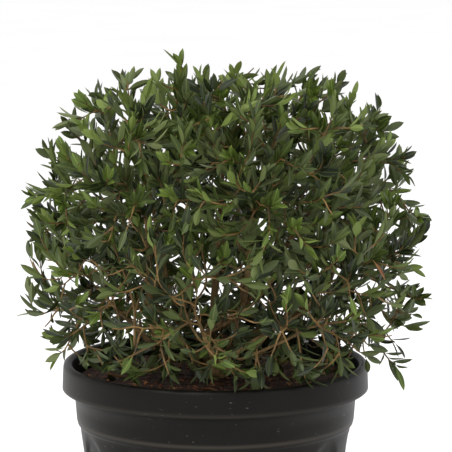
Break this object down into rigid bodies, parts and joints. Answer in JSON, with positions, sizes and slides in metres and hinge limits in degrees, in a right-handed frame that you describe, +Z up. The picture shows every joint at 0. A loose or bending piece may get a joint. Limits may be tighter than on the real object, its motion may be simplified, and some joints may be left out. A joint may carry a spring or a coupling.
{
  "type": "potted narrow-leaved mock privet",
  "caption": "Evergreen shrub with narrow opposite leaves, clipped to a flattened dome, standing in a round black fluted nursery pot filled with bark soil.",
  "frame": {"origin": "middle of the pot's flat underside, on the surface it stands on", "axes": "+Z up along the pot's axis; -Y is the front that the picture shows; +X is to the right seen from the front"},
  "size_m": [0.542, 0.5265, 0.736],
  "materials": {
    "pot_plastic": "black moulded plastic, satin, lightly scuffed",
    "soil": "dark bark compost, rough and crumbly",
    "bark": "thin tan-brown bark of young stems",
    "foliage": "narrow leathery leaves, dark green, fresh yellow-green at the tips"
  },
  "bodies": {
    "root": {"bough_lower_1": "bark", "bough_lower_2": "bark", "bough_lower_3": "bark", "bough_lower_4": "bark", "bough_lower_5": "bark", "bough_lower_6": "bark", "bough_lower_7": "bark", "bough_top": "bark", "bough_upper_1": "bark", "bough_upper_2": "bark", "bough_upper_3": "bark", "bough_upper_4": "bark", "bough_upper_5": "bark", "foliage_lower_1": "foliage", "foliage_lower_2": "foliage", "foliage_lower_3": "foliage", "foliage_lower_4": "foliage", "foliage_lower_5": "foliage", "foliage_lower_6": "foliage", "foliage_lower_7": "foliage", "foliage_top": "foliage", "foliage_upper_1": "foliage", "foliage_upper_2": "foliage", "foliage_upper_3": "foliage", "foliage_upper_4": "foliage", "foliage_upper_5": "foliage", "pot": "pot_plastic", "soil": "soil", "stem_back_left": "bark", "stem_back_right": "bark", "stem_front": "bark", "stem_left": "bark", "stem_middle": "bark", "stem_right": "bark", "trunk": "bark"}
  },
  "joints": []
}
